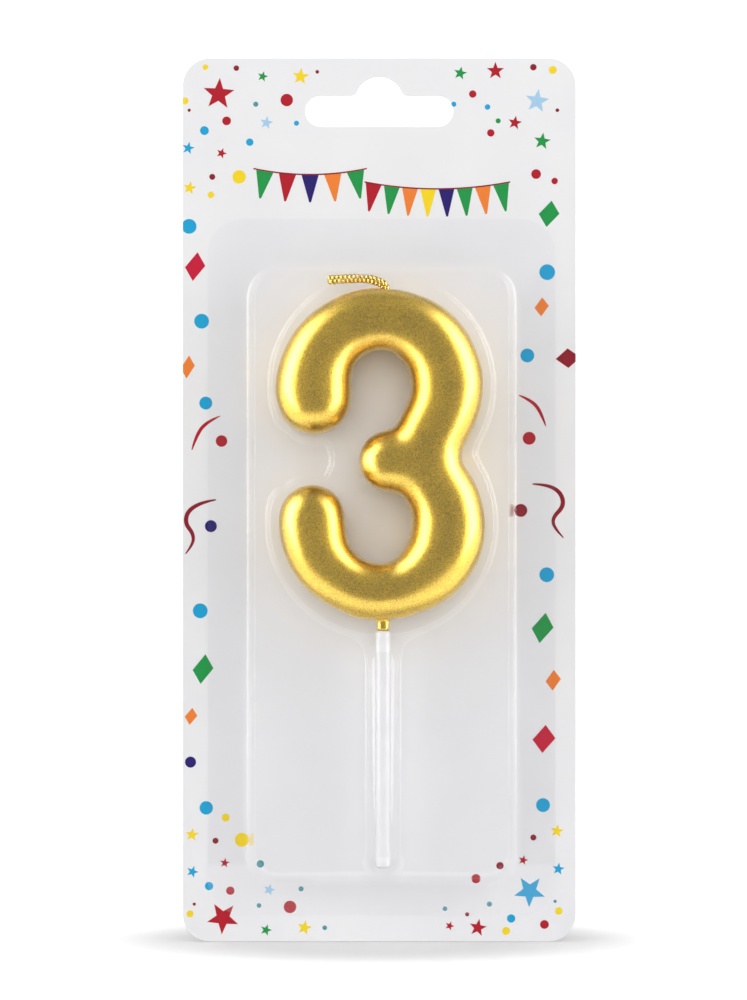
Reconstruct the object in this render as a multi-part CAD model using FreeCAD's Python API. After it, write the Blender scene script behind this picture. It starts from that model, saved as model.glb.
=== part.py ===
import FreeCAD, Part

import math
import os

from FreeCAD import Vector

# A number birthday candle in its hanging blister pack.
# Millimetres. X is to the right, -Y is the front, +Z is up. The origin is the point of the hang
# slot that bears on the peg, on the back face of the card. "Depth" is measured forwards (-Y).

# --- hang card -------------------------------------------------------------------------------
card_thickness = 0.45
card_corner_r = 6.0
header_height = 34.8        # card above the blister's flange
card_foot_margin = 5.8      # card below the flange
card_side_margin = 4.95     # card beside the flange, when the blister is centred
slot_width = 32.0           # euro slot
slot_height = 6.7
slot_dome_r = 5.2
slot_dome_rise = 4.1
slot_dome_fillet = 1.2
slot_below_top = 4.0        # from the card's top edge to the top of the dome

# --- blister ---------------------------------------------------------------------------------
sheet = 0.3                 # clear thermoformed sheet
seal_gap = 0.1              # heat-seal lacquer between the flange and the card
blister_x = 0.5             # the blister is sealed on a little to the right
flange_border_top = 10.9
flange_border_bottom = 7.8
flange_border_side = 9.0
flange_corner_r = 7.5
tray_height = 8.0
tray_draft = 1.5
tray_edge_r = 1.3
tray_corner_r = 6.0
tray_side_room = 4.2        # from the bubble's widest point to the tray's wall
tray_head_room = 4.4        # above the numeral, where the wick lies
tray_foot_room = 3.4        # below the end of the pick
bubble_gap = 1.7            # between the numeral and the wall of its bubble
bubble_roof_gap = 1.0
bubble_edge_r = 3.5
bubble_wall_r = 2.5         # plan radius where the bubble's wall turns inwards
bubble_lobe_r = 5.0         # plan radius where it turns outwards, at the tips of the 3
mouth_notch_r = 5.6         # the bubble's wall dips into the mouth of the 3 in this arc
mouth_notch_depth = 13.6    # from the bubble's left side to the bottom of the dip
channel_gap = 1.9           # between the pick and its channel
channel_end_gap = 0.9

# --- wax numeral: a round stroke, a little flattened -------------------------------------------
candle_x = 0.2
candle_back_gap = 0.3       # the casting lies this close to the card
depth_ratio = 0.88          # the stroke's depth over its width
upper_bowl_r = 14.3         # radii of the stroke's centre line
lower_bowl_r = 14.6
bowl_spacing = 29.3
waist_below_middle = 1.35   # the waist lies this far under the middle of the two bowls' centres
waist_inset = 4.9           # its centre line lies this far inside the upper bowl's
stroke_r_upper_end = 8.1
stroke_r_top = 6.75
stroke_r_upper_side = 7.85
stroke_r_waist = 7.7
stroke_r_lower_side = 8.05
stroke_r_bottom = 6.1
stroke_r_lower_end = 7.2
upper_end_angle = 190.0     # where the stroke ends, in degrees round each bowl from +X
lower_end_angle = -185.0
upper_side_angle = 10.0     # where it is widest
lower_side_angle = -12.0
upper_waist_angle = -25.0   # where it leaves the bowls for the waist
lower_waist_angle = 20.0
section_step = 30.0         # at most this far from one section to the next
nub_length = 7.4            # from the waist to the middle point of the 3
nub_r = 6.8
neck_r = 1.35               # boss under the numeral, which the pick's shoulder meets
neck_height = 2.2

# --- pick --------------------------------------------------------------------------------------
pick_r = 1.6
pick_length = 50.6
pick_offset_x = 0.6         # from the numeral's middle
pick_end_r = 0.7
spigot_r = 0.75
spigot_length = 9.5
barb_r = 1.1
barb_height = 1.4
barb_count = 2

# --- wick --------------------------------------------------------------------------------------
wick_r = 0.87
wick_embed = 9.0
wick_offset_x = 1.2         # where it leaves the wax, from the numeral's middle
wick_rise = 0.8             # the bend's corner above the numeral
wick_lean = (-4.2, 1.2)     # from the bend's corner to where it levels out
wick_free_end = (-8.0, -0.35)
wick_bend_r = 1.8
wick_panel_gap = 0.83       # between the wick and the tray's panel in front of it

# --- places worked out from the sizes above ------------------------------------------------------
card_top = slot_below_top
flange_top = card_top - header_height
tray_top = flange_top - flange_border_top
numeral_top = tray_top - tray_head_room
upper_z = numeral_top - stroke_r_top - upper_bowl_r
lower_z = upper_z - bowl_spacing
numeral_bottom = lower_z - lower_bowl_r - stroke_r_bottom
neck_bottom = numeral_bottom - neck_height
pick_end = neck_bottom - pick_length
tray_bottom = pick_end - tray_foot_room
flange_bottom = tray_bottom - flange_border_bottom
card_bottom = flange_bottom - card_foot_margin

widest_stroke_r = max(stroke_r_upper_end, stroke_r_upper_side, stroke_r_lower_side, stroke_r_waist)
candle_depth = candle_back_gap + depth_ratio * widest_stroke_r
pick_x = candle_x + pick_offset_x
wick_x = candle_x + wick_offset_x
wick_depth = tray_height - wick_panel_gap - wick_r
waist_x = candle_x + upper_bowl_r - waist_inset
waist_z = (upper_z + lower_z) / 2 - waist_below_middle
bubble_upper_r = upper_bowl_r + stroke_r_upper_side + bubble_gap
bubble_lower_r = lower_bowl_r + stroke_r_lower_side + bubble_gap
bubble_height = candle_depth + depth_ratio * widest_stroke_r + bubble_roof_gap
channel_r = pick_r + channel_gap
tray_width = 2 * (max(bubble_upper_r, bubble_lower_r) + tray_side_room)
flange_width = tray_width + 2 * flange_border_side
card_width = flange_width + 2 * card_side_margin


def at(x, z, depth=0.0):
    """The point at this depth in front of the card's front face."""
    return Vector(x, -card_thickness - depth, z)


def on_bowl(centre_z, radius, degrees):
    """X and Z of the point at this angle on a bowl of the 3."""
    angle = math.radians(degrees)
    return candle_x + radius * math.cos(angle), centre_z + radius * math.sin(angle)


def rounded_outline(x0, x1, z0, z1, corner_r, depth):
    """A closed rectangle with round corners, parallel to the card."""
    corners = [(x1, z1, 0), (x0, z1, 90), (x0, z0, 180), (x1, z0, 270)]
    arcs = []
    for x, z, start in corners:
        centre_x = x - math.copysign(corner_r, x - (x0 + x1) / 2)
        centre_z = z - math.copysign(corner_r, z - (z0 + z1) / 2)
        through = []
        for turn in (0, 45, 90):
            angle = math.radians(start + turn)
            through.append(at(centre_x + corner_r * math.cos(angle),
                              centre_z + corner_r * math.sin(angle), depth))
        arcs.append(Part.Arc(*through).toShape())
    edges = []
    for here, following in zip(arcs, arcs[1:] + arcs[:1]):
        edges.append(here)
        end = here.lastVertex().Point
        start = following.firstVertex().Point
        if end.distanceToPoint(start) > 1e-6:
            edges.append(Part.makeLine(end, start))
    return Part.Wire(edges)


def rounded_plate(x0, x1, z0, z1, corner_r, back, thickness):
    """A flat plate with round corners. back is the depth of its rear face."""
    outline = rounded_outline(x0, x1, z0, z1, corner_r, back)
    return Part.Face(outline).extrude(Vector(0, -thickness, 0))


def post(x, z, radius, back, height):
    """A cylinder that stands on the depth back and points forwards."""
    return Part.makeCylinder(radius, height, at(x, z, back), Vector(0, -1, 0))


def edges_at_depth(shape, depth):
    """The edges that lie whole in the plane at this depth."""
    y = at(0, 0, depth).y
    return [e for e in shape.Edges if abs(e.BoundBox.YMin - y) < 1e-4 and abs(e.BoundBox.YMax - y) < 1e-4]


def edges_through(shape, x, z):
    """The straight edges that run along Y through this point."""
    found = []
    for edge in shape.Edges:
        box = edge.BoundBox
        if box.XLength + box.ZLength < 1e-4 and math.hypot(box.XMin - x, box.ZMin - z) < 0.01:
            found.append(edge)
    return found


def make_card():
    """Printed paperboard with a euro slot punched through its header."""
    half = card_width / 2
    card = rounded_plate(-half, half, card_bottom, card_top, card_corner_r, -card_thickness,
                         card_thickness)
    slot_top = -slot_dome_rise
    behind = -2 * card_thickness
    through = 3 * card_thickness
    slot = rounded_plate(-slot_width / 2, slot_width / 2, slot_top - slot_height, slot_top,
                         slot_height / 2, behind, through)
    slot = slot.fuse(post(0, -slot_dome_r, slot_dome_r, behind, through)).removeSplitter()
    meet_x = math.sqrt(slot_dome_r ** 2 - (slot_dome_r - slot_dome_rise) ** 2)
    corners = edges_through(slot, -meet_x, slot_top) + edges_through(slot, meet_x, slot_top)
    return card.cut(slot.makeFillet(slot_dome_fillet, corners))


def disc(x, z, radius):
    """A round face on the card's front."""
    return Part.Face(Part.Wire([Part.makeCircle(radius, at(x, z), Vector(0, -1, 0))]))


def bubble_outline():
    """The face under the raised part over the 3: both bowls, with a dip at the mouth."""
    upper_tip_x, upper_tip_z = on_bowl(upper_z, upper_bowl_r, upper_end_angle)
    lower_tip_x, lower_tip_z = on_bowl(lower_z, lower_bowl_r, lower_end_angle)
    left = blister_x - max(bubble_upper_r, bubble_lower_r)
    dip_x = left + mouth_notch_depth - mouth_notch_r
    dip_z = (upper_tip_z - stroke_r_upper_end + lower_tip_z + stroke_r_lower_end) / 2
    corners = [(left, -1), (dip_x, -1), (dip_x, 1), (left, 1), (left, -1)]
    entry = Part.makePolygon([at(x, dip_z + side * mouth_notch_r) for x, side in corners])
    dip = disc(dip_x, dip_z, mouth_notch_r).fuse(Part.Face(entry))
    dip = dip.cut(disc(upper_tip_x, upper_tip_z, stroke_r_upper_end + bubble_gap))
    dip = dip.cut(disc(lower_tip_x, lower_tip_z, stroke_r_lower_end + bubble_gap))

    bowls = disc(blister_x, upper_z, bubble_upper_r).fuse(disc(blister_x, lower_z, bubble_lower_r))
    outline = bowls.cut(dip).removeSplitter().Faces[0]
    # inwards and back out rounds the corners that point out, and then the other way round
    outline = outline.makeOffset2D(-bubble_lobe_r).makeOffset2D(bubble_lobe_r + bubble_wall_r)
    return outline.makeOffset2D(-bubble_wall_r)


def bubble(grow):
    """The raised part over the 3, with a round edge to its roof."""
    height = bubble_height + grow
    outline = bubble_outline()
    if grow:
        outline = outline.makeOffset2D(grow)
    solid = outline.extrude(Vector(0, -height, 0))
    return solid.makeFillet(bubble_edge_r + grow, edges_at_depth(solid, height))


def tray(grow):
    """The flat-topped drafted box that the bubble and the channel rise from."""
    half = tray_width / 2 + grow
    height = tray_height + grow
    outlines = []
    for inset, depth in ((0, 0), (tray_draft, height)):
        outlines.append(rounded_outline(
            blister_x - half + inset, blister_x + half - inset,
            tray_bottom - grow + inset, tray_top + grow - inset,
            tray_corner_r + grow - inset, depth))
    box = Part.makeLoft(outlines, True, True)
    return box.makeFillet(tray_edge_r + grow, edges_at_depth(box, height))


def channel(grow):
    """The half-round rib over the pick, closed by a ball at its foot."""
    radius = channel_r + grow
    foot_z = pick_end - channel_end_gap + channel_r
    head_z = lower_z - lower_bowl_r
    rib = Part.makeCylinder(radius, head_z - foot_z, at(pick_x, foot_z, candle_depth), Vector(0, 0, 1))
    rib = rib.fuse(Part.makeSphere(radius, at(pick_x, foot_z, candle_depth)))
    wall = Part.makeBox(2 * radius, candle_depth, head_z - foot_z,
                        at(pick_x - radius, foot_z, candle_depth))
    return rib.fuse(wall)


def make_blister():
    """One clear sheet, drawn over a former: flange, tray, bubble and channel."""
    flange = rounded_plate(blister_x - flange_width / 2, blister_x + flange_width / 2,
                           flange_bottom, flange_top, flange_corner_r, 0, sheet)
    outside = flange.fuse([tray(sheet), bubble(sheet), channel(sheet)])
    inside = tray(0).fuse([bubble(0), channel(0)])
    shell = outside.cut(inside)
    shell.translate(Vector(0, -seal_gap, 0))
    return shell


def bowl_sections(centre_z, bowl_r, keys):
    """(x, z, radius, turn) of round sections through these (angle, radius) keys, evenly between."""
    stations = [keys[0]]
    for (angle0, radius0), (angle1, radius1) in zip(keys, keys[1:]):
        steps = math.ceil(abs(angle1 - angle0) / section_step)
        for i in range(1, steps + 1):
            share = i / steps
            ease = (1 - math.cos(math.pi * share)) / 2
            stations.append((angle0 + (angle1 - angle0) * share, radius0 + (radius1 - radius0) * ease))
    return [(*on_bowl(centre_z, bowl_r, angle), radius, angle) for angle, radius in stations]


def stroke_sections():
    """The stroke's round sections, from its upper end through the waist to its lower end."""
    upper = [(upper_end_angle, stroke_r_upper_end), (90, stroke_r_top),
             (upper_side_angle, stroke_r_upper_side), (upper_waist_angle, stroke_r_waist)]
    lower = [(lower_waist_angle, stroke_r_waist), (lower_side_angle, stroke_r_lower_side),
             (-90, stroke_r_bottom), (lower_end_angle, stroke_r_lower_end)]
    waist = (waist_x, waist_z, stroke_r_waist, 0)
    return [*bowl_sections(upper_z, upper_bowl_r, upper), waist,
            *bowl_sections(lower_z, lower_bowl_r, lower)]


def section_wire(x, z, radius, turn):
    """A circle across the stroke. turn is the angle of the direction that points out of the bowl."""
    ring = Part.makeCircle(radius, Vector(0, 0, 0), Vector(0, 0, 1))
    ring.rotate(Vector(0, 0, 0), Vector(0, 1, 0), -turn)
    ring.translate(Vector(x, 0, z))
    return Part.Wire([ring])


def make_solid_numeral():
    """The 3 without its holes: a round stroke that is then flattened and moved to its depth."""
    sections = stroke_sections()
    stroke = Part.makeLoft([section_wire(*s) for s in sections], True, False)
    ends = []
    for x, z, radius, _ in (sections[0], sections[-1]):
        ends.append(Part.makeSphere(radius, Vector(x, 0, z)))
    waist = Vector(waist_x, 0, waist_z)
    nub = Part.makeCone(stroke_r_waist, nub_r, nub_length, waist, Vector(-1, 0, 0))
    ends.append(nub)
    ends.append(Part.makeSphere(nub_r, waist - Vector(nub_length, 0, 0)))
    numeral = stroke.fuse(ends)
    flatten = FreeCAD.Matrix()
    flatten.scale(Vector(1, depth_ratio, 1))
    numeral = numeral.transformGeometry(flatten)
    numeral.translate(Vector(0, at(0, 0, candle_depth).y, 0))
    neck = Part.makeCylinder(neck_r, neck_height + stroke_r_bottom, at(pick_x, neck_bottom, candle_depth))
    return numeral.fuse(neck)


def make_pick():
    """A plain white rod with a thinner barbed spigot that the wax is cast round."""
    foot = at(pick_x, pick_end, candle_depth)
    rod = Part.makeCylinder(pick_r, pick_length, foot)
    rims = [e for e in rod.Edges if e.BoundBox.ZLength < 1e-4]
    rod = rod.makeFillet(pick_end_r, rims)
    shoulder = at(pick_x, neck_bottom, candle_depth)
    pieces = [Part.makeCylinder(spigot_r, spigot_length, shoulder)]
    for i in range(barb_count):
        barb_z = neck_bottom + spigot_length * (i + 1) / (barb_count + 0.5) - barb_height
        pieces.append(Part.makeCone(barb_r, spigot_r, barb_height, at(pick_x, barb_z, candle_depth)))
    return rod.fuse(pieces).removeSplitter()


def rounded_route(points, radius):
    """Straight runs through the points, with a tangent arc at each bend."""
    edges = []
    start = points[0]
    for before, corner, after in zip(points, points[1:], points[2:]):
        into = (corner - before).normalize()
        out = (after - corner).normalize()
        turn = into.getAngle(out)
        cut = radius * math.tan(turn / 2)
        first = corner - into * cut
        last = corner + out * cut
        inwards = (out - into).normalize()
        middle = corner + inwards * (radius / math.cos(turn / 2) - radius)
        edges.append(Part.makeLine(start, first))
        edges.append(Part.Arc(first, middle, last).toShape())
        start = last
    edges.append(Part.makeLine(start, points[-1]))
    return Part.Wire(edges)


def make_wick():
    """Braided wick: cast into the wax, then bent over to the left above the numeral."""
    corner_z = numeral_top + wick_rise
    corner = at(wick_x, corner_z, wick_depth)
    level = corner + Vector(wick_lean[0], 0, wick_lean[1])
    points = [at(wick_x, numeral_top - wick_embed, wick_depth), corner, level,
              level + Vector(wick_free_end[0], 0, wick_free_end[1])]
    route = rounded_route(points, wick_bend_r)
    section = Part.Wire([Part.makeCircle(wick_r, points[0], Vector(0, 0, 1))])
    return route.makePipeShell([section], True, True)


def main():
    os.makedirs("parts", exist_ok=True)
    pick = make_pick()
    wick = make_wick()
    nodes = {
        "hang_card": make_card(),
        "clear_blister": make_blister(),
        "wax_numeral_3": make_solid_numeral().cut(pick).cut(wick),
        "candle_pick": pick,
        "braided_wick": wick,
    }
    for name, shape in nodes.items():
        shape.exportStep("parts/" + name + ".step")
        print(name, len(shape.Solids), "solid, valid:", shape.isValid(), "volume", round(shape.Volume, 1))


main()
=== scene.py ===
import math

import bmesh
import bpy
import numpy as np
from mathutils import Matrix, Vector


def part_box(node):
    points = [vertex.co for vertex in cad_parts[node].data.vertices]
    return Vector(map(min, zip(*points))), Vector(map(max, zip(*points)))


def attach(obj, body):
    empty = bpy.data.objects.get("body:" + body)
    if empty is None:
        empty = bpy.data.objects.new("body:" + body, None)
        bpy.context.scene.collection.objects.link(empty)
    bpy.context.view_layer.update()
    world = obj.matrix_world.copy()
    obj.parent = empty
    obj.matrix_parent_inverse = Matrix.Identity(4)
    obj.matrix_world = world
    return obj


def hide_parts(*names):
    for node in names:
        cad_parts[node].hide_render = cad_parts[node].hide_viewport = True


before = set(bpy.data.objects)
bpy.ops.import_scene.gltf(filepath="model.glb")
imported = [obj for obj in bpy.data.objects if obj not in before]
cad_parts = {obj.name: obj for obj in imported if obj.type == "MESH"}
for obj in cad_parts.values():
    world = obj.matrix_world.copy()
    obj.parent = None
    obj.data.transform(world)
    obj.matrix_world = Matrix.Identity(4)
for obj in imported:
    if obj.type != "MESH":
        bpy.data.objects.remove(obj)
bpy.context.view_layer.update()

# --- Hang card ---
# White coated paperboard, die-cut with rounded corners and a hang slot. The coating on the
# front is smooth, and the cut edges and the back show the board's fibres.

mm = 0.001
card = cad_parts["hang_card"]
card_low, card_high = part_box("hang_card")
card_face = card_low.y


def new_material(name):
    """A node material. Returns it, its tree, its Principled shader and the tree's link call."""
    made = bpy.data.materials.new(name)
    made.use_nodes = True
    tree = made.node_tree
    return made, tree, tree.nodes["Principled BSDF"], tree.links.new


def add_node(tree, kind, **settings):
    """A node with its settings: its own properties, or else its inputs' constants."""
    node = tree.nodes.new(kind)
    for key, value in settings.items():
        if hasattr(node, key):
            setattr(node, key, value)
        else:
            node.inputs[key.replace("_", " ")].default_value = value
    return node


def grain_group():
    """Fine speckle and soft clouds that several finishes use. Both values lie round 0.5."""
    tree = bpy.data.node_groups.new("Fine grain", "ShaderNodeTree")
    face = tree.interface
    size = face.new_socket("Grains per metre", in_out="INPUT", socket_type="NodeSocketFloat")
    size.default_value = 4000.0
    cloud = face.new_socket("Clouds per metre", in_out="INPUT", socket_type="NodeSocketFloat")
    cloud.default_value = 60.0
    face.new_socket("Speckle", in_out="OUTPUT", socket_type="NodeSocketFloat")
    face.new_socket("Cloud", in_out="OUTPUT", socket_type="NodeSocketFloat")
    source = tree.nodes.new("NodeGroupInput")
    out = tree.nodes.new("NodeGroupOutput")
    place = tree.nodes.new("ShaderNodeTexCoord")
    speckle = add_node(tree, "ShaderNodeTexNoise", Detail=2.0, Roughness=0.6)
    clouds = add_node(tree, "ShaderNodeTexNoise", Detail=3.0, Roughness=0.55)
    for noise, wanted in ((speckle, 0), (clouds, 1)):
        tree.links.new(place.outputs["Object"], noise.inputs["Vector"])
        tree.links.new(source.outputs[wanted], noise.inputs["Scale"])
        tree.links.new(noise.outputs["Fac"], out.inputs[wanted])
    return tree


fine_grain = grain_group()


def add_grain(tree, grains, clouds):
    """The grain in a material, with the count of its grains and clouds per metre."""
    node = tree.nodes.new("ShaderNodeGroup")
    node.node_tree = fine_grain
    node.inputs["Grains per metre"].default_value = grains
    node.inputs["Clouds per metre"].default_value = clouds
    return node


def add_ramp(tree, value, stops):
    """A colour picked by a value between stops of (place, colour). Returns the output."""
    ramp = tree.nodes.new("ShaderNodeValToRGB")
    line = ramp.color_ramp.elements
    while len(line) < len(stops):
        line.new(0.5)
    for element, (place, colour) in zip(line, stops):
        element.position = place
        element.color = (*colour, 1.0)
    tree.links.new(value, ramp.inputs["Fac"])
    return ramp.outputs["Color"]


def add_range(tree, value, spread, reach=(0.0, 1.0), form="LINEAR"):
    """Carries a value from its spread to a new reach, held at both ends. Returns the output."""
    node = add_node(tree, "ShaderNodeMapRange", interpolation_type=form)
    for name, number in zip(("From Min", "From Max", "To Min", "To Max"), (*spread, *reach)):
        node.inputs[name].default_value = number
    tree.links.new(value, node.inputs["Value"])
    return node.outputs["Result"]


def add_bump(tree, height, strength, distance, over=None):
    """Relief on the surface, or over another relief's normal. Returns the new normal."""
    node = add_node(tree, "ShaderNodeBump", Strength=strength, Distance=distance)
    tree.links.new(height, node.inputs["Height"])
    if over is not None:
        tree.links.new(over, node.inputs["Normal"])
    return node.outputs["Normal"]


coating = 0.03 * mm     # thickness of the smooth layer on the front

board, tree, shader, link = new_material("Coated paperboard")
grain = add_grain(tree, 9000.0, 45.0)
coat = add_ramp(tree, grain.outputs["Cloud"],
                [(0.3, (0.80, 0.80, 0.815)), (0.7, (0.835, 0.835, 0.845))])
fibre = add_ramp(tree, grain.outputs["Speckle"],
                 [(0.35, (0.68, 0.67, 0.65)), (0.65, (0.82, 0.815, 0.80))])
place = tree.nodes.new("ShaderNodeTexCoord")
apart = tree.nodes.new("ShaderNodeSeparateXYZ")
link(place.outputs["Object"], apart.inputs["Vector"])
bare = add_range(tree, apart.outputs["Y"], (card_face + coating, card_face + 2 * coating))
paint = add_node(tree, "ShaderNodeMix", data_type="RGBA")
link(bare, paint.inputs["Factor"])
link(coat, paint.inputs["A"])
link(fibre, paint.inputs["B"])
link(paint.outputs["Result"], shader.inputs["Base Color"])
link(add_range(tree, bare, (0.0, 1.0), (0.5, 0.9)), shader.inputs["Roughness"])
link(add_bump(tree, grain.outputs["Speckle"], 0.12, 0.03 * mm), shader.inputs["Normal"])
shader.inputs["Specular IOR Level"].default_value = 0.2
card.data.materials.clear()
card.data.materials.append(board)

# --- Printed confetti ---
# Dots, stars and diamonds printed on the card's front in flat inks, thick in the corners and
# loose down both sides. Each motif is a thin film of ink, laid by one node tree.

ink_film = 0.02 * mm
inks = {
    "red": (0.44, 0.010, 0.022),
    "crimson": (0.56, 0.010, 0.040),
    "maroon": (0.26, 0.013, 0.026),
    "blue": (0.012, 0.36, 0.65),
    "sky": (0.37, 0.60, 0.80),
    "yellow": (0.90, 0.66, 0.015),
    "green": (0.015, 0.30, 0.065),
    "orange": (0.85, 0.22, 0.035),
    "navy": (0.022, 0.012, 0.15),
    "teal": (0.08, 0.30, 0.36),
}

ink_finish, tree, shader, link = new_material("Printed ink")
grain = add_grain(tree, 12000.0, 200.0)
ink_colour = add_node(tree, "ShaderNodeAttribute", attribute_name="ink")
tone = add_range(tree, grain.outputs["Speckle"], (0.3, 0.7), (0.9, 1.08))
shade = add_node(tree, "ShaderNodeVectorMath", operation="SCALE")
link(ink_colour.outputs["Color"], shade.inputs[0])
link(tone, shade.inputs["Scale"])
link(shade.outputs["Vector"], shader.inputs["Base Color"])
link(add_range(tree, grain.outputs["Cloud"], (0.0, 1.0), (0.44, 0.56)),
     shader.inputs["Roughness"])
shader.inputs["Specular IOR Level"].default_value = 0.2

# each motif: across from the card's middle, up from the card's foot, size, turn in degrees
left_dots = {
    "red": [(-20.0, 181.9, 1.35), (-33.0, 177.4, 0.95), (-34.1, 108.2, 1.25),
            (-32.2, 11.0, 0.9), (-19.3, 7.5, 1.35)],
    "maroon": [(-30.9, 188.8, 0.6), (-13.4, 188.0, 0.4), (-41.1, 179.7, 0.35),
               (-36.1, 165.3, 0.65), (-35.4, 21.8, 0.65), (-40.0, 8.1, 0.35)],
    "blue": [(-37.8, 175.3, 0.95), (-28.0, 172.8, 0.8), (-17.9, 176.9, 0.55),
             (-41.1, 154.6, 1.6), (-38.4, 134.1, 1.6), (-37.5, 116.4, 1.4), (-38.7, 71.5, 1.6),
             (-37.4, 28.9, 1.45), (-36.8, 12.0, 0.9)],
    "teal": [(-26.7, 181.0, 0.55), (-25.7, 16.8, 0.8), (-16.9, 11.4, 0.55), (-26.0, 7.8, 0.5),
             (-11.8, 3.0, 0.5)],
    "yellow": [(-37.6, 189.0, 0.6), (-42.0, 181.7, 0.75), (-30.3, 165.3, 1.45),
               (-36.4, 161.4, 0.7), (-33.2, 26.8, 0.85), (-29.7, 22.0, 1.5), (-40.9, 6.0, 0.75)],
    "navy": [(-36.4, 89.8, 1.3), (-40.8, 38.8, 1.2)],
}
right_dots = {
    "red": [(20.2, 183.2, 0.8), (24.1, 174.8, 0.8), (33.9, 165.9, 1.05), (37.9, 164.4, 0.7),
            (32.4, 108.8, 1.4), (20.9, 13.6, 1.0), (35.7, 3.7, 0.95)],
    "maroon": [(33.3, 189.0, 0.7), (38.5, 179.7, 0.4), (33.3, 22.5, 0.65), (26.1, 16.4, 0.8),
               (30.6, 93.2, 1.4), (19.0, 5.9, 0.45)],
    "blue": [(16.1, 181.0, 0.55), (23.4, 180.4, 0.6), (36.3, 144.7, 1.7), (32.0, 126.7, 1.5),
             (36.2, 79.3, 1.6), (35.4, 29.5, 1.5), (28.5, 5.0, 0.9)],
    "teal": [(23.8, 8.1, 0.55), (14.2, 7.1, 0.5), (38.0, 8.7, 0.35)],
    "yellow": [(37.5, 188.4, 0.85), (38.8, 6.6, 0.8), (27.4, 2.3, 0.85)],
    "green": [(25.7, 177.4, 0.55)],
}
stars = {
    "red": [(-34.7, 183.2, 3.5, 4), (-34.1, 170.4, 1.2, 20), (-33.4, 17.0, 1.1, 8),
            (-33.8, 5.1, 3.55, 40), (25.1, 188.2, 1.95, 0), (29.3, 177.0, 1.55, 10),
            (31.1, 17.6, 1.1, 14), (15.2, 3.4, 1.05, 22), (21.3, 3.0, 1.95, 10)],
    "green": [(-25.2, 187.0, 1.2, 15), (17.5, 187.7, 1.5, 12), (35.2, 173.0, 1.9, 8),
              (-24.5, 2.5, 1.3, 18)],
    "yellow": [(-17.0, 187.0, 1.9, 6), (-41.0, 162.9, 1.5, 10), (-40.5, 23.1, 1.5, 5),
               (-16.2, 3.0, 1.65, 12), (38.4, 23.9, 1.5, 9)],
    "sky": [(-24.4, 177.0, 1.45, 10), (34.1, 181.7, 2.65, 8), (-23.8, 11.2, 1.3, 16)],
    "blue": [(-41.3, 171.5, 1.4, 12), (-40.4, 15.1, 1.35, 20), (38.7, 15.7, 1.4, 8),
             (32.5, 10.9, 3.5, 38)],
}
# each diamond: across, up, width, height, lean
diamonds = {
    "crimson": [(-39.8, 145.9, 4.2, 6.3, 14), (35.6, 43.8, 4.8, 6.1, 12)],
    "maroon": [(40.8, 126.1, 5.3, 4.2, 6)],
    "orange": [(-41.4, 124.2, 2.9, 5.0, 10), (35.1, 137.2, 3.0, 4.1, 8),
               (-40.7, 48.7, 2.6, 3.7, 14), (37.6, 56.5, 3.2, 4.5, 8)],
    "green": [(36.7, 157.3, 4.3, 5.8, 16), (-38.1, 58.9, 4.3, 6.5, 14),
              (35.3, 67.8, 4.5, 6.7, 16)],
}


dot_kind, star_kind, diamond_kind = range(3)


def ink_points(name):
    """One loose point for each motif, with its kind, size, turn and ink."""
    rows = []
    for half in (left_dots, right_dots):
        for ink, places in half.items():
            rows += [(x, up, dot_kind, (r, r), 0, ink) for x, up, r in places]
    for ink, places in stars.items():
        rows += [(x, up, star_kind, (r, r), turn, ink) for x, up, r, turn in places]
    for ink, places in diamonds.items():
        rows += [(x, up, diamond_kind, (w / 2, h / 2), turn, ink)
                 for x, up, w, h, turn in places]
    mesh = bpy.data.meshes.new(name)
    mesh.from_pydata([(x * mm, card_face, card_low.z + up * mm) for x, up, *_ in rows], [], [])
    for label, form in (("kind", "INT"), ("size", "FLOAT_VECTOR"), ("turn", "FLOAT"),
                        ("ink", "FLOAT_COLOR")):
        mesh.attributes.new(label, form, "POINT")
    marks = mesh.attributes
    for i, (_, _, kind, (wide, high), turn, ink) in enumerate(rows):
        marks["kind"].data[i].value = kind
        marks["size"].data[i].vector = (wide * mm, high * mm, 1.0)
        marks["turn"].data[i].value = math.radians(turn)
        marks["ink"].data[i].color = (*inks[ink], 1.0)
    made = bpy.data.objects.new(name, mesh)
    bpy.context.scene.collection.objects.link(made)
    return made


def node_tree(name, inputs):
    """An empty geometry tree with named inputs. Returns the tree, its input and its output."""
    tree = bpy.data.node_groups.new(name, "GeometryNodeTree")
    tree.interface.new_socket("Geometry", in_out="INPUT", socket_type="NodeSocketGeometry")
    for label, kind, value in inputs:
        socket = tree.interface.new_socket(label, in_out="INPUT", socket_type=kind)
        if value is not None:
            socket.default_value = value
    tree.interface.new_socket("Geometry", in_out="OUTPUT", socket_type="NodeSocketGeometry")
    return tree, tree.nodes.new("NodeGroupInput"), tree.nodes.new("NodeGroupOutput")


def bake_tree(obj, tree, values=None):
    """Runs the tree on the object and keeps the result as its plain mesh."""
    modifier = obj.modifiers.new(tree.name, "NODES")
    modifier.node_group = tree
    for item in tree.interface.items_tree:
        if item.item_type == "SOCKET" and item.in_out == "INPUT" and item.name in (values or {}):
            modifier[item.identifier] = values[item.name]
    return bake_modifiers(obj)


def bake_modifiers(obj):
    """Keeps the object's shape with its modifiers applied as its plain mesh."""
    graph = bpy.context.evaluated_depsgraph_get()
    graph.update()
    mesh = bpy.data.meshes.new_from_object(obj.evaluated_get(graph))
    obj.modifiers.clear()
    obj.data = mesh
    mesh.name = obj.name
    return obj


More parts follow.
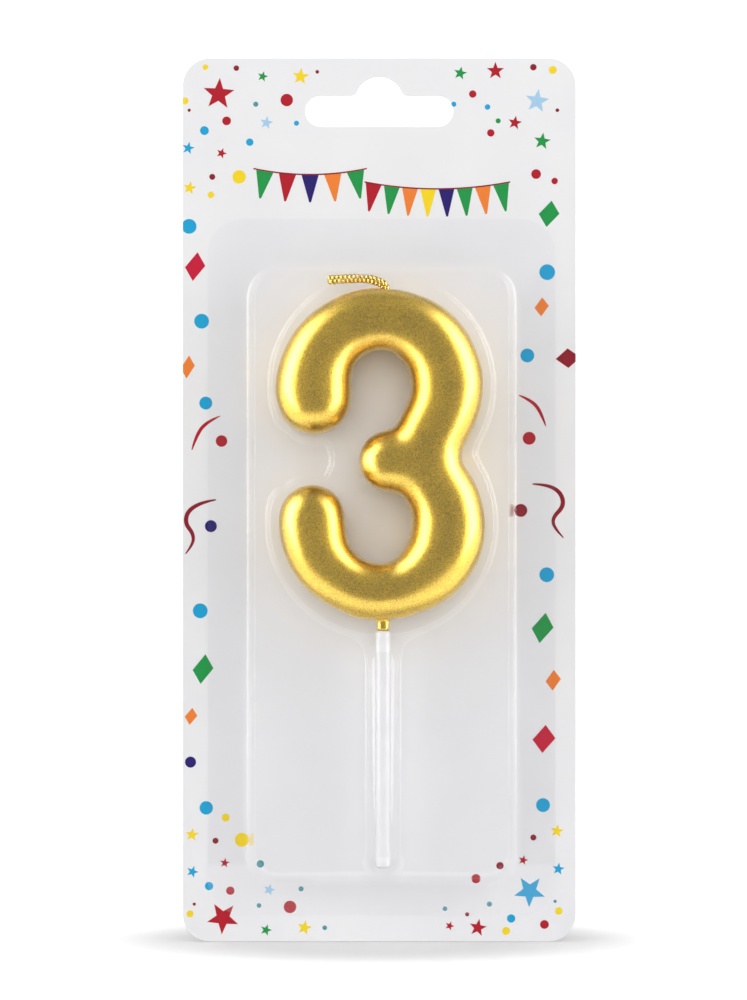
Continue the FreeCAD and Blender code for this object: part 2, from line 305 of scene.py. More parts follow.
def confetti_tree():
    """Lays a dot, star or diamond of ink on each point, as its attributes say."""
    tree, source, out = node_tree("Confetti print", [
        ("Ink film", "NodeSocketFloat", ink_film), ("Ink", "NodeSocketMaterial", None),
        ("Star waist", "NodeSocketFloat", 0.42)])
    link = tree.links.new
    kind = add_node(tree, "GeometryNodeInputNamedAttribute", data_type="INT")
    kind.inputs["Name"].default_value = "kind"
    size = add_node(tree, "GeometryNodeInputNamedAttribute", data_type="FLOAT_VECTOR")
    size.inputs["Name"].default_value = "size"
    turn = add_node(tree, "GeometryNodeInputNamedAttribute", data_type="FLOAT")
    turn.inputs["Name"].default_value = "turn"
    stand = tree.nodes.new("ShaderNodeCombineXYZ")
    stand.inputs["X"].default_value = math.pi / 2
    link(turn.outputs["Attribute"], stand.inputs["Y"])
    dot = add_node(tree, "GeometryNodeCurvePrimitiveCircle", Resolution=28)
    dot.inputs["Radius"].default_value = 1.0
    star = tree.nodes.new("GeometryNodeCurveStar")
    star.inputs["Points"].default_value = 5
    star.inputs["Outer Radius"].default_value = 1.0
    link(source.outputs["Star waist"], star.inputs["Inner Radius"])
    star_up = tree.nodes.new("GeometryNodeTransform")
    star_up.inputs["Rotation"].default_value = (0.0, 0.0, math.pi / 2)
    link(star.outputs["Curve"], star_up.inputs["Geometry"])
    diamond = add_node(tree, "GeometryNodeCurvePrimitiveQuadrilateral", mode="POINTS")
    leaning_corners = (-0.12, 1, 0), (1, 0.22, 0), (0.12, -1, 0), (-1, -0.22, 0)
    for i, corner in enumerate(leaning_corners):
        diamond.inputs[f"Point {i + 1}"].default_value = corner
    joined = tree.nodes.new("GeometryNodeJoinGeometry")
    for number, shape in ((dot_kind, dot.outputs["Curve"]),
                          (star_kind, star_up.outputs["Geometry"]),
                          (diamond_kind, diamond.outputs["Curve"])):
        fill = add_node(tree, "GeometryNodeFillCurve")
        link(shape, fill.inputs["Curve"])
        lift = tree.nodes.new("GeometryNodeExtrudeMesh")
        lift.inputs["Individual"].default_value = False
        link(fill.outputs["Mesh"], lift.inputs["Mesh"])
        lift.inputs["Offset Scale"].default_value = 1.0
        flipped = tree.nodes.new("GeometryNodeFlipFaces")
        link(fill.outputs["Mesh"], flipped.inputs["Mesh"])
        both = tree.nodes.new("GeometryNodeJoinGeometry")
        link(lift.outputs["Mesh"], both.inputs["Geometry"])
        link(flipped.outputs["Mesh"], both.inputs["Geometry"])
        closed = tree.nodes.new("GeometryNodeMergeByDistance")
        closed.inputs["Distance"].default_value = 0.0001
        link(both.outputs["Geometry"], closed.inputs["Geometry"])
        same = add_node(tree, "FunctionNodeCompare", data_type="INT", operation="EQUAL")
        link(kind.outputs["Attribute"], same.inputs["A"])
        same.inputs["B"].default_value = number
        lay = tree.nodes.new("GeometryNodeInstanceOnPoints")
        link(source.outputs["Geometry"], lay.inputs["Points"])
        link(same.outputs["Result"], lay.inputs["Selection"])
        link(closed.outputs["Geometry"], lay.inputs["Instance"])
        link(stand.outputs["Vector"], lay.inputs["Rotation"])
        flat = tree.nodes.new("ShaderNodeSeparateXYZ")
        link(size.outputs["Attribute"], flat.inputs["Vector"])
        wide = tree.nodes.new("ShaderNodeCombineXYZ")
        link(flat.outputs["X"], wide.inputs["X"])
        link(flat.outputs["Y"], wide.inputs["Y"])
        link(source.outputs["Ink film"], wide.inputs["Z"])
        link(wide.outputs["Vector"], lay.inputs["Scale"])
        link(lay.outputs["Instances"], joined.inputs["Geometry"])
    real = tree.nodes.new("GeometryNodeRealizeInstances")
    link(joined.outputs["Geometry"], real.inputs["Geometry"])
    finish = tree.nodes.new("GeometryNodeSetMaterial")
    link(real.outputs["Geometry"], finish.inputs["Geometry"])
    link(source.outputs["Ink"], finish.inputs["Material"])
    link(finish.outputs["Geometry"], out.inputs["Geometry"])
    return tree


unprinted_edge = 0.05 * mm


def trim_to_card(obj):
    """Cuts off ink that would hang over the card's sides, and closes the cut."""
    shape = bmesh.new()
    shape.from_mesh(obj.data)
    for side in (-1, 1):
        edge = (card_high.x if side > 0 else card_low.x) - side * unprinted_edge
        cut = bmesh.ops.bisect_plane(
            shape, geom=shape.verts[:] + shape.edges[:] + shape.faces[:], dist=1e-7,
            plane_co=(edge, 0, 0), plane_no=(side, 0, 0), clear_outer=True)
        rim = [e for e in cut["geom_cut"] if isinstance(e, bmesh.types.BMEdge)]
        if rim:
            bmesh.ops.holes_fill(shape, edges=rim, sides=0)
    bmesh.ops.recalc_face_normals(shape, faces=shape.faces[:])
    shape.to_mesh(obj.data)
    shape.free()


confetti = bake_tree(ink_points("print_confetti"), confetti_tree(), {"Ink": ink_finish})
trim_to_card(confetti)
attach(confetti, "card")

# --- Printed streamers ---
# Two curled ribbons and two short arcs down each side of the card, printed in the same red.
# Each is a band of ink that swells and tapers along its path.

# each band: ink, widest width, then its path across from the middle and up from the foot
streamers = [
    ("red", 0.75, [(-40.5, 106.3), (-39.4, 109.9), (-37.0, 112.5), (-34.4, 113.6)]),
    ("maroon", 0.95, [(-35.3, 95.5), (-38.0, 95.1), (-41.4, 93.2), (-42.0, 90.4), (-40.2, 88.2),
                      (-40.2, 85.9), (-41.9, 83.8)]),
    ("red", 0.75, [(30.2, 118.1), (32.6, 117.1), (34.8, 114.9), (36.0, 111.4)]),
    ("maroon", 0.95, [(33.1, 98.9), (36.2, 98.8), (39.2, 97.2), (40.0, 94.2), (37.4, 91.6),
                      (37.8, 89.4), (39.8, 87.3)]),
]


def smooth_path(points, count):
    """Even points on the smooth curve that the given points steer."""
    curve = bpy.data.curves.new("path", "CURVE")
    curve.dimensions = "3D"
    spline = curve.splines.new("NURBS")
    spline.points.add(len(points) - 1)
    for point, place in zip(spline.points, points):
        point.co = (*place, 1.0)
    spline.order_u = 3
    spline.use_endpoint_u = True
    spline.resolution_u = 24
    holder = bpy.data.objects.new("path", curve)
    bpy.context.scene.collection.objects.link(holder)
    graph = bpy.context.evaluated_depsgraph_get()
    graph.update()
    mesh = bpy.data.meshes.new_from_object(holder.evaluated_get(graph))
    line = np.array([v.co[:] for v in mesh.vertices])
    bpy.data.objects.remove(holder)
    bpy.data.curves.remove(curve)
    bpy.data.meshes.remove(mesh)
    along = np.concatenate(([0.0], np.cumsum(np.linalg.norm(np.diff(line, axis=0), axis=1))))
    wanted = np.linspace(0.0, along[-1], count)
    return np.stack([np.interp(wanted, along, line[:, i]) for i in range(3)], axis=1)


def ink_plates(name, plates):
    """Closed thin plates of ink from outlines of (across, up), each with its ink."""
    shape = bmesh.new()
    layer = shape.verts.layers.float_color.new("ink")
    for ink, quads in plates:
        for quad in quads:
            corners = {}
            for depth in (0, 1):
                corners[depth] = [
                    shape.verts.new((x * mm, card_face - depth * ink_film, card_low.z + up * mm))
                    for x, up in quad]
                for v in corners[depth]:
                    v[layer] = (*inks[ink], 1.0)
            shape.faces.new(corners[1])
            shape.faces.new(corners[0][::-1])
            for i in range(len(quad)):
                j = (i + 1) % len(quad)
                shape.faces.new((corners[0][i], corners[0][j], corners[1][j], corners[1][i]))
    bmesh.ops.remove_doubles(shape, verts=shape.verts[:], dist=1e-7)
    bmesh.ops.recalc_face_normals(shape, faces=shape.faces[:])
    mesh = bpy.data.meshes.new(name)
    shape.to_mesh(mesh)
    shape.free()
    made = bpy.data.objects.new(name, mesh)
    bpy.context.scene.collection.objects.link(made)
    mesh.materials.append(ink_finish)
    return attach(made, "card")


def band_outline(path, width):
    """The outline of a band that swells to its width in the middle and tapers to its ends."""
    line = smooth_path([(x, up, 0.0) for x, up in path], 33)
    way = np.gradient(line, axis=0)
    way /= np.linalg.norm(way, axis=1)[:, None]
    across = np.stack([-way[:, 1], way[:, 0]], axis=1)
    swell = np.sin(np.linspace(0.06, 0.96, len(line)) * np.pi) ** 0.7 * width / 2
    left = line[:, :2] + across * swell[:, None]
    right = line[:, :2] - across * swell[:, None]
    return [tuple(p) for p in left] + [tuple(p) for p in right[::-1]]


ink_plates("print_streamers", [
    (ink, [band_outline(path, width)]) for ink, width, path in streamers])

# --- Printed bunting ---
# Two short strings of party pennants printed across the header, in the card's inks. They are a
# plain stand-in for a greeting: nothing on the card is lettering.

# each string: left end across, up from the foot, length, sag, and its pennants' inks
strings = [
    ((-27.2, 167.1), 24.5, 1.3, ["green", "red", "navy", "orange", "green"]),
    ((-3.2, 164.2), 31.5, 1.5, ["red", "green", "orange", "yellow", "navy", "green", "orange",
                                "green"]),
]
string_half = 0.16
pennant_width = 3.7
pennant_share = 0.86    # of its part of the string, at most
pennant_drop = 6.0
pennant_tip_half = 0.2
pennant_top = 0.14      # below the string's middle


def string_point(string, t):
    """A point on a string, the share t of the way from its left end to its right."""
    (left, up), length, sag, _ = string
    return left + t * length, up - 4 * sag * t * (1 - t)


plates = []
for string in strings:
    _, length, sag, colours = string
    cord = [string_point(string, t) for t in np.linspace(0, 1, 25)]
    plates.append(("maroon", [[(x, z + string_half) for x, z in cord]
                              + [(x, z - string_half) for x, z in cord[::-1]]]))
    half = min(pennant_width, pennant_share * length / len(colours)) / 2
    for i, ink in enumerate(colours):
        t = (i + 0.5) / len(colours)
        x, z = string_point(string, t)
        slope = -4 * sag * (1 - 2 * t) / length
        top = [(x + across, z + across * slope - pennant_top) for across in (-half, 0.0, half)]
        foot = [(x + across + pennant_drop * slope, z - pennant_drop)
                for across in (pennant_tip_half, -pennant_tip_half)]
        plates.append((ink, [top + foot]))
ink_plates("print_bunting", plates)

# --- Clear blister ---
# One clear plastic sheet, vacuum-formed over a former: flange, shallow tray, the bubble round
# the numeral and the rib over its pick. The flange is heat-sealed to the card.

# sizes in mm; a place is (across, up) in the pack's frame, and a bowl or tip adds its radius
sheet = 0.3
seal_gap = 0.1
sheet_back = card_face / mm - seal_gap
sheet_middle = 0.5
flange_half = (37.55, 75.175)
flange_up = -105.975
flange_corner = 7.5
flange_bend = 0.8

tray_half = (28.55, 65.825)
tray_up = -107.525
tray_corner = 6.0
tray_height = 8.0
tray_draft = 1.5            # the foot stands out this far past the top
tray_wall_share = 0.983     # of a distance along the card that counts across the wall
tray_edge_bend = 0.9
tray_foot_bend = 1.0

upper_bowl = (sheet_middle, -67.15, 23.85)
lower_bowl = (sheet_middle, -96.45, 24.35)
bowl_blend = 4.0
bubble_height = 15.556
bubble_lean = 0.1           # the wall draws in by this share of its height
roof_bend = 1.0
mouth = (-15.85, -82.86)
mouth_r = 5.6
mouth_blend = 6.0
upper_tip = (-13.9, -69.6, 9.8)
lower_tip = (-14.3, -95.2, 8.9)

rib_r = 3.5
rib_axis = (0.8, -7.878)    # across and deep
rib_foot = -167.35
rib_top = -108.0
rib_blend = 7.0

former_cell = 0.36
former_low = (-39.0, -18.0, -183.0)
former_high = (40.0, 1.0, -29.0)
former_level = 20.0         # added to the rule, so that the block's values stay above zero
snap_reach = 0.55 * former_cell
trim_margin = 0.02
back_margin = 0.05
easing_turns = 2


def add_math(tree, operation, *terms):
    """A Math node fed by numbers or outputs, in order. Returns its output."""
    node = add_node(tree, "ShaderNodeMath", operation=operation)
    for socket, term in zip(node.inputs, terms):
        if isinstance(term, (int, float)):
            socket.default_value = term
        else:
            tree.links.new(term, socket)
    return node.outputs[0]


def former_tree():
    """The outside of the drawn sheet, as the level surface of a rule for its former, in mm."""
    tree, source, out = node_tree("Blister former", [
        ("Cell", "NodeSocketFloat", former_cell), ("Sheet", "NodeSocketFloat", sheet),
        ("Tray height", "NodeSocketFloat", tray_height),
        ("Tray draft", "NodeSocketFloat", tray_draft),
        ("Bubble height", "NodeSocketFloat", bubble_height),
        ("Rib radius", "NodeSocketFloat", rib_r), ("Plastic", "NodeSocketMaterial", None)])
    link = tree.links.new

    def rule(operation, *terms):
        return add_math(tree, operation, *terms)

    def plus(a, b):
        return rule("ADD", a, b)

    def minus(a, b):
        return rule("SUBTRACT", a, b)

    def span(*terms):
        """The length of a vector of two or three terms."""
        total = rule("MULTIPLY", terms[0], terms[0])
        for term in terms[1:]:
            total = rule("MULTIPLY_ADD", term, term, total)
        return rule("SQRT", total)

    place = tree.nodes.new("GeometryNodeInputPosition")
    apart = tree.nodes.new("ShaderNodeSeparateXYZ")
    link(place.outputs["Position"], apart.inputs["Vector"])
    x, y, z = apart.outputs
    height = minus(sheet_back, y)

    def disc(at_x, at_z, radius):
        return minus(span(minus(x, at_x), minus(z, at_z)), radius)

    # tray: a rounded box with drafted walls
    out_x = minus(rule("ABSOLUTE", minus(x, sheet_middle)), tray_half[0] - tray_corner)
    out_z = minus(rule("ABSOLUTE", minus(z, tray_up)), tray_half[1] - tray_corner)
    wall = minus(plus(span(rule("MAXIMUM", out_x, 0.0), rule("MAXIMUM", out_z, 0.0)),
                      rule("MINIMUM", rule("MAXIMUM", out_x, out_z), 0.0)), tray_corner)
    slope = rule("DIVIDE", source.outputs["Tray draft"], source.outputs["Tray height"])
    wall = rule("MULTIPLY", plus(wall, rule("MULTIPLY", slope, height)), tray_wall_share)
    tray = rule("SMOOTH_MAX", wall, minus(height, source.outputs["Tray height"]),
                tray_edge_bend)

    # bubble: two bowls, with a dip at the mouth of the numeral between its two ends
    bowls = rule("SMOOTH_MIN", disc(*upper_bowl), disc(*lower_bowl), bowl_blend)
    dip = minus(span(rule("MAXIMUM", minus(x, mouth[0]), 0.0), minus(z, mouth[1])), mouth_r)
    for tip in (upper_tip, lower_tip):
        dip = rule("MAXIMUM", dip, rule("MULTIPLY", disc(*tip), -1.0))
    outline = rule("SMOOTH_MAX", bowls, rule("MULTIPLY", dip, -1.0), mouth_blend)
    lean = rule("MULTIPLY", minus(height, source.outputs["Tray height"]), bubble_lean)
    outline = plus(outline, rule("MAXIMUM", lean, 0.0))
    bubble = rule("SMOOTH_MAX", outline, minus(height, source.outputs["Bubble height"]),
                  roof_bend)

    # rib: half round over the pick, closed by a ball at its foot
    rib = minus(span(minus(x, rib_axis[0]), rule("MINIMUM", minus(y, rib_axis[1]), 0.0),
                     rule("MINIMUM", minus(z, rib_foot), 0.0)), source.outputs["Rib radius"])
    rib = rule("MAXIMUM", rib, minus(z, rib_top))

    formed = rule("SMOOTH_MIN", bubble, rib, rib_blend)
    formed = rule("SMOOTH_MIN", formed, tray, tray_foot_bend)
    formed = rule("SMOOTH_MIN", formed, height, flange_bend)
    block = tree.nodes.new("GeometryNodeVolumeCube")
    block.inputs["Min"].default_value = former_low
    block.inputs["Max"].default_value = former_high
    for axis, low, high in zip("XYZ", former_low, former_high):
        link(rule("DIVIDE", high - low, source.outputs["Cell"]),
             block.inputs[f"Resolution {axis}"])
    link(minus(plus(source.outputs["Sheet"], former_level), formed), block.inputs["Density"])
    skin = tree.nodes.new("GeometryNodeVolumeToMesh")
    skin.inputs["Threshold"].default_value = former_level
    link(block.outputs["Volume"], skin.inputs["Volume"])
    small = tree.nodes.new("GeometryNodeTransform")
    small.inputs["Scale"].default_value = (mm, mm, mm)
    link(skin.outputs["Mesh"], small.inputs["Geometry"])
    real = tree.nodes.new("GeometryNodeRealizeInstances")
    link(small.outputs["Geometry"], real.inputs["Geometry"])
    finish = tree.nodes.new("GeometryNodeSetMaterial")
    link(real.outputs["Geometry"], finish.inputs["Geometry"])
    link(source.outputs["Plastic"], finish.inputs["Material"])
    link(finish.outputs["Geometry"], out.inputs["Geometry"])
    return tree


def beyond_flange(points):
    """How far points lie outside the flange's outline, in mm, and the way out."""
    flat = np.stack([points[:, 0] - sheet_middle, points[:, 2] - flange_up], axis=1)
    side = np.where(flat < 0, -1.0, 1.0)
    past = np.abs(flat) - (np.array(flange_half) - flange_corner)
    corner = np.maximum(past, 0.0)
    reach = np.linalg.norm(corner, axis=1)
    out = np.minimum(past.max(1), 0.0) + reach - flange_corner
    way = np.where(reach[:, None] > 0, corner / np.maximum(reach, 1e-9)[:, None],
                   (past == past.max(1)[:, None]).astype(float))
    return out, way * side


clear, tree, shader, link = new_material("Clear formed sheet")
tree.nodes.remove(shader)
through = add_node(tree, "ShaderNodeBsdfTransparent", Color=(0.998, 0.998, 1.0, 1.0))
mirror = add_node(tree, "ShaderNodeBsdfGlossy", Color=(1.0, 1.0, 1.0, 1.0))
facing = add_node(tree, "ShaderNodeLayerWeight", Blend=0.5)
edge_on = add_math(tree, "POWER", facing.outputs["Facing"], 6.0)
share = add_math(tree, "MULTIPLY_ADD", edge_on, 0.9, 0.018)
grain = add_grain(tree, 500.0, 90.0)
link(add_bump(tree, grain.outputs["Cloud"], 0.15, 0.03 * mm), mirror.inputs["Normal"])
haze = add_range(tree, grain.outputs["Speckle"], (0.0, 1.0), (0.02, 0.06))
link(haze, mirror.inputs["Roughness"])
mix = tree.nodes.new("ShaderNodeMixShader")
link(share, mix.inputs["Fac"])
link(through.outputs["BSDF"], mix.inputs[1])
link(mirror.outputs["BSDF"], mix.inputs[2])
path = tree.nodes.new("ShaderNodeLightPath")
lit_through = tree.nodes.new("ShaderNodeMixShader")
link(path.outputs["Is Shadow Ray"], lit_through.inputs["Fac"])
link(mix.outputs["Shader"], lit_through.inputs[1])
link(through.outputs["BSDF"], lit_through.inputs[2])
link(lit_through.outputs["Shader"], tree.nodes["Material Output"].inputs["Surface"])

blister = bpy.data.objects.new("blister_sheet", bpy.data.meshes.new("blister_sheet"))
bpy.context.scene.collection.objects.link(blister)
bake_tree(blister, former_tree(), {"Plastic": clear})
skin = blister.data
points = np.array([v.co[:] for v in skin.vertices]) / mm
out, way = beyond_flange(points)
near = (np.abs(out) < snap_reach) & (points[:, 1] < sheet_back)
points[near, 0] -= out[near] * way[near, 0]
points[near, 2] -= out[near] * way[near, 1]
skin.vertices.foreach_set("co", (points * mm).astype(np.float32).ravel())
out = beyond_flange(points)[0]
shape = bmesh.new()
shape.from_mesh(skin)
shape.verts.ensure_lookup_table()
waste = [v for v in shape.verts
         if out[v.index] > trim_margin or points[v.index, 1] > sheet_back + back_margin]
bmesh.ops.delete(shape, geom=waste, context="VERTS")
loose = [v for v in shape.verts if not v.link_faces]
bmesh.ops.delete(shape, geom=loose, context="VERTS")
shape.normal_update()
if sum(f.normal.y * f.calc_area() for f in shape.faces) > 0:
    bmesh.ops.reverse_faces(shape, faces=shape.faces[:])
for turn in range(easing_turns):
    bmesh.ops.smooth_vert(shape, verts=[v for v in shape.verts if not v.is_boundary], factor=0.5,
                          use_axis_x=True, use_axis_y=True, use_axis_z=True)
shape.to_mesh(skin)
shape.free()
flats = blister.modifiers.new("Flats", "DECIMATE")
flats.decimate_type = "DISSOLVE"
flats.angle_limit = math.radians(1.2)
wall = blister.modifiers.new("Sheet", "SOLIDIFY")
wall.thickness = sheet * mm
wall.offset = -1.0
blister.modifiers.new("Triangles", "TRIANGULATE")
bake_modifiers(blister)
blister.data.shade_smooth()
blister.data.set_sharp_from_angle(angle=math.radians(62))
even = blister.modifiers.new("Even flats", "WEIGHTED_NORMAL")
even.keep_sharp = True
bake_modifiers(blister)

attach(blister, "blister")
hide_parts("clear_blister")

# --- Wax numeral ---
# A 3 cast in wax in a two-part mould, then dipped or sprayed with gold lacquer, so that every
# crease is soft. A short boss under it meets the pick.

# sizes in mm
numeral_cell = 0.32
boss_top = -116.4
boss_blend = 0.6
waist = (15.0, -83.2)
waist_reach = 6.5
casting_turns = 90
waist_turns = 260


def merged_copy(node, name):
    """A copy of a CAD node's mesh with its loose triangles joined."""
    made = bpy.data.objects.new(name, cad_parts[node].data.copy())
    made.data.materials.clear()
    bpy.context.scene.collection.objects.link(made)
    shape = bmesh.new()
    shape.from_mesh(made.data)
    bmesh.ops.remove_doubles(shape, verts=shape.verts[:], dist=1e-6)
    shape.to_mesh(made.data)
    shape.free()
    return made


numeral = merged_copy("wax_numeral_3", "gold_numeral")
cells = numeral.modifiers.new("Cells", "REMESH")
cells.mode = "VOXEL"
cells.voxel_size = numeral_cell * mm
bake_modifiers(numeral)
edges = np.array([e.vertices[:] for e in numeral.data.edges])
points = np.array([v.co[:] for v in numeral.data.vertices])
ends = np.concatenate((edges[:, 0], edges[:, 1]))
others = np.concatenate((edges[:, 1], edges[:, 0]))
neighbours = np.bincount(ends, minlength=len(points))[:, None]
cast = np.clip((points[:, 2] / mm - boss_top) / boss_blend, 0.0, 1.0)
from_waist = np.hypot(points[:, 0] / mm - waist[0], points[:, 2] / mm - waist[1])
by_waist = cast * np.exp(-(from_waist / waist_reach) ** 2)
for turns, ease in ((casting_turns, cast), (waist_turns, by_waist)):
    for turn in range(turns):
        around = np.stack([np.bincount(ends, points[others, i], len(points)) for i in range(3)], 1)
        points += 0.5 * ease[:, None] * (around / neighbours - points)
numeral.data.vertices.foreach_set("co", points.astype(np.float32).ravel())
numeral.data.update()
numeral.data.shade_smooth()


def gold_material(name, base, deep, rough, flake, flake_depth, coat):
    """Metallic lacquer: a gold base whose flakes glint, under a thin clear skin."""
    made, tree, shader, link = new_material(name)
    grain = add_grain(tree, flake, 120.0)
    clouds = add_math(tree, "MULTIPLY", grain.outputs["Cloud"], 0.2)
    mottle = add_math(tree, "MULTIPLY_ADD", grain.outputs["Speckle"], 0.8, clouds)
    link(add_ramp(tree, mottle, [(0.36, deep), (0.6, base)]), shader.inputs["Base Color"])
    dull = add_range(tree, grain.outputs["Speckle"], (0.0, 1.0), (rough - 0.06, rough + 0.06))
    link(dull, shader.inputs["Roughness"])
    flakes = add_bump(tree, grain.outputs["Speckle"], 1.0, flake_depth)
    swell = add_bump(tree, grain.outputs["Cloud"], 0.4, 0.04 * mm, over=flakes)
    link(swell, shader.inputs["Normal"])
    shader.inputs["Metallic"].default_value = 1.0
    shader.inputs["Coat Weight"].default_value = coat
    shader.inputs["Coat Roughness"].default_value = 0.25
    shader.inputs["Coat IOR"].default_value = 2.0
    return made


gold = gold_material("Gold lacquered wax", base=(1.0, 0.645, 0.01), deep=(0.48, 0.30, 0.002),
                     rough=0.31, flake=3600.0, flake_depth=0.022 * mm, coat=0.8)
numeral.data.materials.clear()
numeral.data.materials.append(gold)
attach(numeral, "candle")
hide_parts("wax_numeral_3")

# --- Wick ---
# Cotton braided from three strands, stiff with the same gold lacquer as the numeral. It is
# cast into the wax, leaves its top and is bent over flat to the left.

# sizes in mm; the route is the braid's middle line, from its root to its free end
wick_route = [(1.4, -6.75, -57.5), (1.4, -6.75, -50.0), (1.4, -6.75, -46.6), (1.0, -6.75, -45.4),
              (-0.6, -6.75, -44.7), (-2.8, -6.75, -44.1), (-6.5, -6.75, -44.2),
              (-10.8, -6.75, -44.45)]
strand_r = 0.54
braid_width = 0.45
braid_depth = 0.32
braid_pitch = 2.7
end_share = 0.82        # of the strand's radius, where the lacquer pinches its ends
strand_sides = 10
steps_along = 170

line = smooth_path(wick_route, steps_along)
way = np.gradient(line, axis=0)
way /= np.linalg.norm(way, axis=1)[:, None]
ahead = np.array((0.0, -1.0, 0.0))
beside = np.cross(way, ahead)
beside /= np.linalg.norm(beside, axis=1)[:, None]
run = np.concatenate(([0.0], np.cumsum(np.linalg.norm(np.diff(line, axis=0), axis=1))))
shape = bmesh.new()
for strand in range(3):
    turn = 2 * np.pi * (run / braid_pitch + strand / 3)
    centre = (line + beside * (braid_width * np.sin(turn))[:, None]
              + ahead * (braid_depth * np.sin(2 * turn))[:, None])
    lead = np.gradient(centre, axis=0)
    lead /= np.linalg.norm(lead, axis=1)[:, None]
    u = np.cross(lead, ahead)
    u /= np.linalg.norm(u, axis=1)[:, None]
    v = np.cross(u, lead)
    rings = []
    for i in range(len(centre)):
        radius = strand_r * (end_share if i in (0, len(centre) - 1) else 1.0)
        rings.append([shape.verts.new(Vector(
            centre[i] + radius * (math.cos(a) * u[i] + math.sin(a) * v[i])) * mm)
            for a in np.arange(strand_sides) * 2 * np.pi / strand_sides])
    for first, second in zip(rings, rings[1:]):
        for j in range(strand_sides):
            k = (j + 1) % strand_sides
            shape.faces.new((first[j], first[k], second[k], second[j]))
    shape.faces.new(rings[0][::-1])
    shape.faces.new(rings[-1])
bmesh.ops.recalc_face_normals(shape, faces=shape.faces[:])
mesh = bpy.data.meshes.new("wick_braid")
shape.to_mesh(mesh)
shape.free()
wick = bpy.data.objects.new("wick_braid", mesh)
bpy.context.scene.collection.objects.link(wick)
mesh.shade_smooth()
mesh.materials.append(gold_material(
    "Gold lacquered cotton", base=(1.0, 0.66, 0.05), deep=(0.22, 0.12, 0.005),
    rough=0.34, flake=4500.0, flake_depth=0.05 * mm, coat=0.8))
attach(wick, "candle")
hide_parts("braided_wick")

# --- Pick ---
# White polystyrene rod, injection moulded. Its barbed spigot is cast into the wax, its shoulder
# meets the boss, and its foot is rounded to push into a cake.

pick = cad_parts["candle_pick"]
plastic, tree, shader, link = new_material("White moulded plastic")
grain = add_grain(tree, 2500.0, 110.0)
white = add_ramp(tree, grain.outputs["Cloud"],
                 [(0.3, (0.82, 0.82, 0.835)), (0.7, (0.88, 0.88, 0.885))])
link(white, shader.inputs["Base Color"])
link(add_range(tree, grain.outputs["Speckle"], (0.0, 1.0), (0.18, 0.32)),
     shader.inputs["Roughness"])
link(add_bump(tree, grain.outputs["Cloud"], 0.2, 0.05 * mm), shader.inputs["Normal"])
pick.data.materials.clear()
pick.data.materials.append(plastic)

# --- Studio ---
# A pale sweep that starts just ahead of the pack, a weak lamp on each side and a stronger one
# in front. Round the foot of the pack the sweep has a painted shadow: its colour is darker and
# its white glow fades there. The room is dim ahead and bright at both sides, and brighter still
# there where a gloss mirrors it, so that the gold shows bright bands with a darker one between
# them.

# sizes in metres; the profile is (back, up) from the foot of the pack
floor_level = card_low.z - 0.1 * mm
sweep_front = -0.12
curve_start = 1.2
curve_r = 0.6
sweep_half = 3.0
shape = bmesh.new()
profile = [(sweep_front, 0.0), (0.4, 0.0), (curve_start, 0.0)]
profile += [(curve_start + curve_r * math.sin(a), curve_r - curve_r * math.cos(a))
            for a in np.linspace(0.1, 1.5, 12)]
profile += [(curve_start + curve_r, 0.8), (curve_start + curve_r, 2.6)]
rows = [[shape.verts.new((x, y, floor_level + z)) for x in (-sweep_half, 0.0, sweep_half)]
        for y, z in profile]
for first, second in zip(rows, rows[1:]):
    for j in range(2):
        shape.faces.new((first[j], first[j + 1], second[j + 1], second[j]))
mesh = bpy.data.meshes.new("studio_sweep")
shape.to_mesh(mesh)
shape.free()
mesh.shade_smooth()
sweep = bpy.data.objects.new("studio_sweep", mesh)
bpy.context.scene.collection.objects.link(sweep)
paper, tree, shader, link = new_material("Pale sweep")
shader.inputs["Roughness"].default_value = 0.9
shader.inputs["Specular IOR Level"].default_value = 0.1
path = tree.nodes.new("ShaderNodeLightPath")
shown = add_math(tree, "MAXIMUM", path.outputs["Is Camera Ray"], path.outputs["Is Glossy Ray"])
shown = add_math(tree, "MAXIMUM", shown, path.outputs["Is Transmission Ray"])
place = tree.nodes.new("ShaderNodeTexCoord")
narrow = add_node(tree, "ShaderNodeVectorMath", operation="MULTIPLY")
narrow.inputs[1].default_value = (0.5, 1.0, 0.0)
link(place.outputs["Object"], narrow.inputs[0])
distance = add_node(tree, "ShaderNodeVectorMath", operation="LENGTH")
link(narrow.outputs["Vector"], distance.inputs[0])
# Painted shadow: near the foot of the pack the sweep's white glow fades and its colour darkens, a
# contact shadow painted on the floor.
glow_outside_painted_shadow = add_range(tree, distance.outputs["Value"], (0.012, 0.05), (0.03, 0.9), "SMOOTHSTEP")
sweep_colour_with_painted_shadow = add_ramp(tree, glow_outside_painted_shadow, [(0.0, (0.74, 0.74, 0.745)), (1.0, (0.86, 0.86, 0.865))])
link(sweep_colour_with_painted_shadow, shader.inputs["Base Color"])
shader.inputs["Emission Color"].default_value = (1.0, 1.0, 1.0, 1.0)
link(add_math(tree, "MULTIPLY", glow_outside_painted_shadow, shown), shader.inputs["Emission Strength"])
mesh.materials.append(paper)

world = bpy.data.worlds.new("Dim room")
bpy.context.scene.world = world
world.use_nodes = True
tree = world.node_tree
link = tree.links.new
room = tree.nodes["Background"]
path = tree.nodes.new("ShaderNodeLightPath")
shown = add_math(tree, "MAXIMUM", path.outputs["Is Camera Ray"],
                 path.outputs["Is Transmission Ray"])
look = tree.nodes.new("ShaderNodeTexCoord")
apart = tree.nodes.new("ShaderNodeSeparateXYZ")
link(look.outputs["Generated"], apart.inputs["Vector"])
to_right, to_back, to_top = apart.outputs
behind = add_range(tree, to_back, (0.0, 0.5), form="SMOOTHSTEP")
mirrored = add_math(tree, "MULTIPLY", behind, path.outputs["Is Glossy Ray"])
white_share = add_math(tree, "MAXIMUM", shown, mirrored)
dim_level = add_range(tree, to_back, (-0.85, -0.45), (0.4, 0.42), "SMOOTHSTEP")

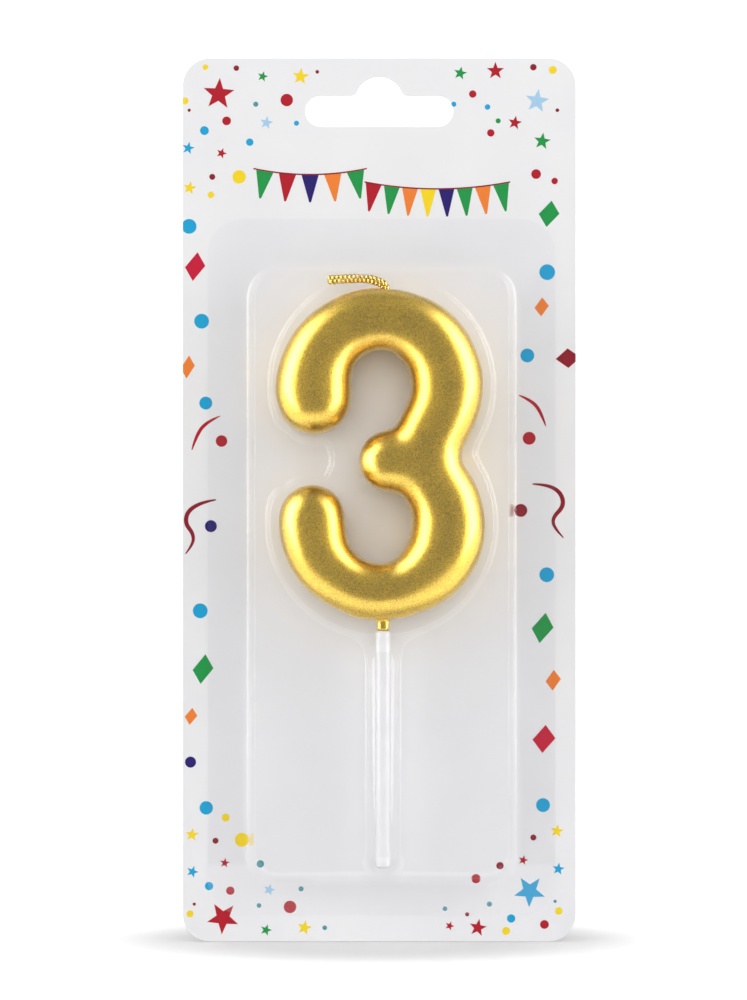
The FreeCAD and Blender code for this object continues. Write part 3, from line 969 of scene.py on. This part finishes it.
# the bright sides: from ahead of the pack to a little behind it, fading upwards and downwards
side_front = add_range(tree, to_back, (-0.62, -0.46), form="SMOOTHSTEP")
side_back = add_range(tree, to_back, (-0.05, 0.2), (1.0, 0.0), "SMOOTHSTEP")
ring = add_math(tree, "MULTIPLY_ADD", to_top, to_top,
                add_math(tree, "MULTIPLY", to_right, to_right))
sideways = add_math(tree, "DIVIDE", add_math(tree, "ABSOLUTE", to_right),
                    add_math(tree, "SQRT", ring))
sides = add_range(tree, sideways, (0.35, 0.95), form="SMOOTHSTEP")
for edge in (side_front, side_back):
    sides = add_math(tree, "MULTIPLY", sides, edge)
side_level = add_math(tree, "MULTIPLY_ADD", path.outputs["Is Glossy Ray"], 5.0, 1.5)
light = add_math(tree, "MULTIPLY_ADD", sides, side_level, dim_level)
sky = add_node(tree, "ShaderNodeMix", data_type="RGBA")
link(light, sky.inputs["A"])
link(white_share, sky.inputs["Factor"])
sky.inputs["B"].default_value = (1.0, 1.0, 1.0, 1.0)
link(sky.outputs["Result"], room.inputs["Color"])
room.inputs["Strength"].default_value = 1.0

# each lamp: name, place, width, height, power in watts
lamps = [
    ("left_softbox", (-0.52, -0.30, 0.1), 0.3, 1.4, 0.6),
    ("right_softbox", (0.52, -0.30, 0.1), 0.3, 1.4, 0.6),
    ("front_fill", (0.0, -1.0, 0.25), 1.1, 0.9, 4.5),
]
pack_middle = Vector((0.0, 0.0, -0.0915))
for name, spot, width, height, power in lamps:
    lamp = bpy.data.lights.new(name, "AREA")
    lamp.shape = "RECTANGLE"
    lamp.size = width
    lamp.size_y = height
    lamp.energy = power
    lit = bpy.data.objects.new(name, lamp)
    bpy.context.scene.collection.objects.link(lit)
    lit.location = spot
    lit.rotation_euler = (pack_middle - Vector(spot)).to_track_quat("-Z", "Y").to_euler()
    lit.visible_glossy = False

camera_across = -1.25 * mm
camera_distance = 0.565     # ahead of the card's face

lens = bpy.data.cameras.new("camera")
lens.lens = 94.1
lens.sensor_width = 36.0
lens.clip_start = 0.01
camera = bpy.data.objects.new("camera", lens)
bpy.context.scene.collection.objects.link(camera)
camera.location = (camera_across, card_face - camera_distance, pack_middle.z)
camera.rotation_euler = (math.pi / 2, 0.0, 0.0)
bpy.context.scene.camera = camera
bpy.context.scene.view_settings.view_transform = "Standard"
